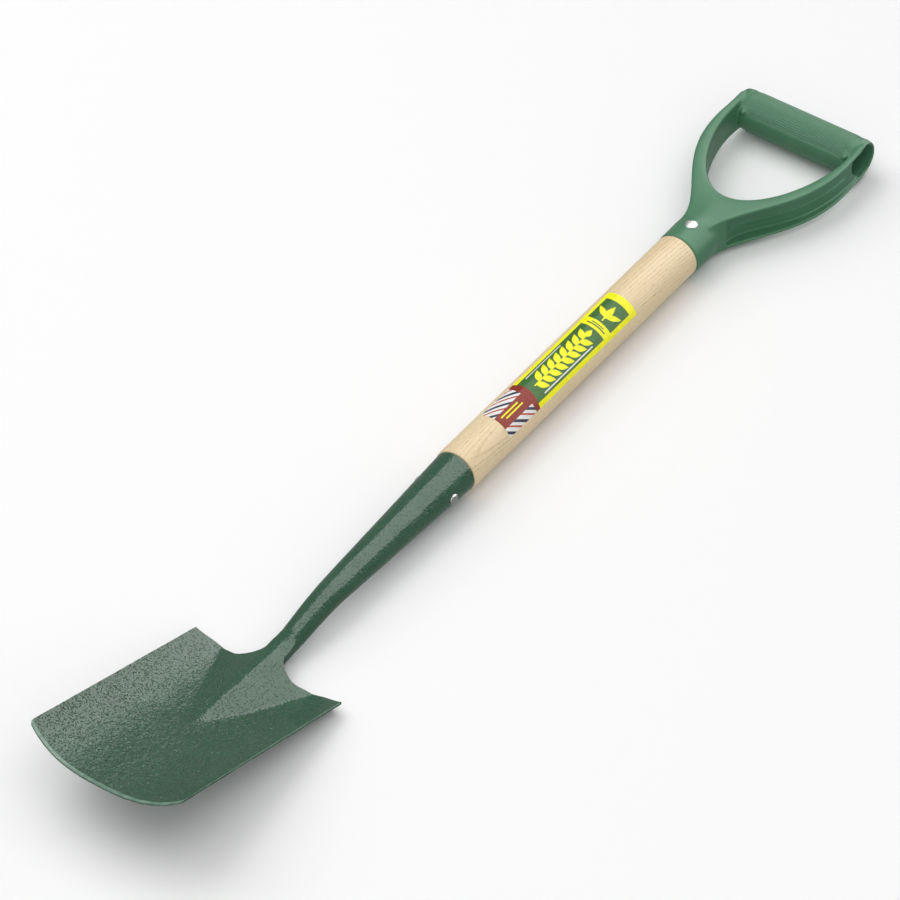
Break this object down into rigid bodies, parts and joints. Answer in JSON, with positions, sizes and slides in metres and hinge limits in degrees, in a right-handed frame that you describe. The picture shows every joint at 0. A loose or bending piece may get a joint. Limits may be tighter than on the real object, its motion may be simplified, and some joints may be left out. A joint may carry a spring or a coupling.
{
  "type": "garden spade",
  "caption": "Garden spade with a dished rectangular blade, a raised triangular frog, a long tapered socket, a round ash shaft and a D-shaped handle with a cross grip.",
  "frame": {"origin": "middle of the bounding box's base: the spade lies face up, on the neck's back and the handle, on the plane z = 0", "axes": "+Y along the shaft from the blade towards the D-handle, +Z out of the blade's front face, +X across the blade to the right, seen from the front with the handle up"},
  "size_m": [0.1396, 0.9568, 0.072],
  "materials": {
    "green_enamel": "glossy enamel with an orange-peel surface",
    "ash_wood": "clear satin lacquer on pale ash",
    "rivet_steel": "dull",
    "green_plastic": "satin moulded plastic with a fine knurl on the grip",
    "rivet_zinc": "bright",
    "label_print": "glossy printed film"
  },
  "bodies": {
    "root": {"blade_head": "green_enamel", "shaft": "ash_wood", "socket_rivet": "rivet_steel", "d_handle": "green_plastic", "handle_rivet": "rivet_zinc", "label": "label_print"}
  },
  "joints": []
}
